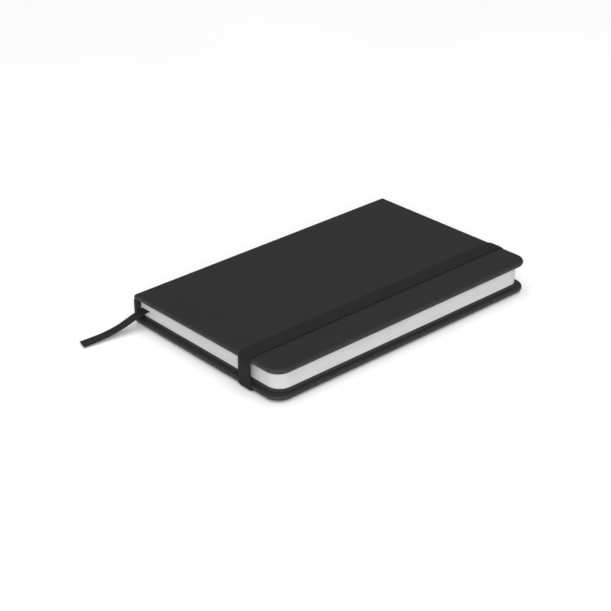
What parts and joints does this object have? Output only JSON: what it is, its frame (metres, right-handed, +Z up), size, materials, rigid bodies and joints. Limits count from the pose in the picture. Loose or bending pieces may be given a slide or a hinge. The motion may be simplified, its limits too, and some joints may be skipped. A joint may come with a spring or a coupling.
{
  "type": "pocket notebook",
  "caption": "Hard-cover pocket notebook with rounded fore-edge corners, sewn page sections, an elastic closure band, a ribbon marker and a flat rear pocket.",
  "frame": {"origin": "bottom centre of the closed notebook, loose ribbon end left out", "axes": "+X from the spine to the fore-edge, +Y from tail to head, +Z up through the front cover"},
  "size_m": [0.0907, 0.1717, 0.0151],
  "materials": {
    "cover_skin": "soft-touch matte synthetic leather, charcoal black",
    "grey_board": "uncoated grey board",
    "endpaper": "uncoated black paper, dyed through",
    "page_paper": "uncoated white paper, trimmed edges",
    "elastic": "ribbed woven elastic, black",
    "ribbon": "satin woven ribbon, black",
    "thread": "waxed white sewing thread",
    "gauze": "open cotton gauze with dried glue",
    "pocket_card": "matte black card",
    "pocket_cloth": "matte black lining cloth"
  },
  "bodies": {
    "back_cover": {"back_board": "grey_board", "back_cover_skin": "cover_skin", "rear_pastedown": "endpaper", "pocket_panel": "pocket_card", "pocket_fore_fold": "pocket_cloth", "pocket_gusset_head": "pocket_cloth", "pocket_gusset_tail": "pocket_cloth", "rear_flyleaf": "endpaper", "signature_01": "page_paper", "signature_02": "page_paper", "signature_03": "page_paper", "signature_04": "page_paper", "sewing_thread_rear": "thread", "spine_skin": "cover_skin", "spine_liner": "grey_board", "spine_mull": "gauze", "ribbon_marker": "ribbon", "ribbon_tail": "ribbon", "elastic_head_return": "elastic", "elastic_tail_return": "elastic"},
    "front_pages": {"signature_05": "page_paper", "signature_06": "page_paper", "signature_07": "page_paper", "signature_08": "page_paper", "signature_09": "page_paper", "signature_10": "page_paper", "front_flyleaf": "endpaper", "sewing_thread_front": "thread"},
    "front_cover": {"front_board": "grey_board", "front_cover_skin": "cover_skin", "front_pastedown": "endpaper"},
    "elastic_band": {"elastic_front_run": "elastic", "elastic_head_leg": "elastic", "elastic_tail_leg": "elastic"}
  },
  "joints": [
    {"name": "page_opening", "type": "hinge", "parent": "back_cover", "child": "front_pages", "pos_m": [-0.0452, 0, 0.00725], "axis": [0, -1, 0], "range_deg": [0, 178], "deforming": ["spine_skin", "spine_liner", "spine_mull"]},
    {"name": "front_cover_hinge", "type": "hinge", "parent": "front_pages", "child": "front_cover", "pos_m": [-0.04485, 0, 0.01408], "axis": [0, 1, 0], "range_deg": [-178, 0]},
    {"name": "elastic_release", "type": "slide", "parent": "back_cover", "child": "elastic_band", "axis": [1, 0, 0], "range_m": [0, 0.026], "stiffness_N_per_m": 40, "deforming": ["elastic_front_run", "elastic_head_leg", "elastic_tail_leg"]}
  ]
}
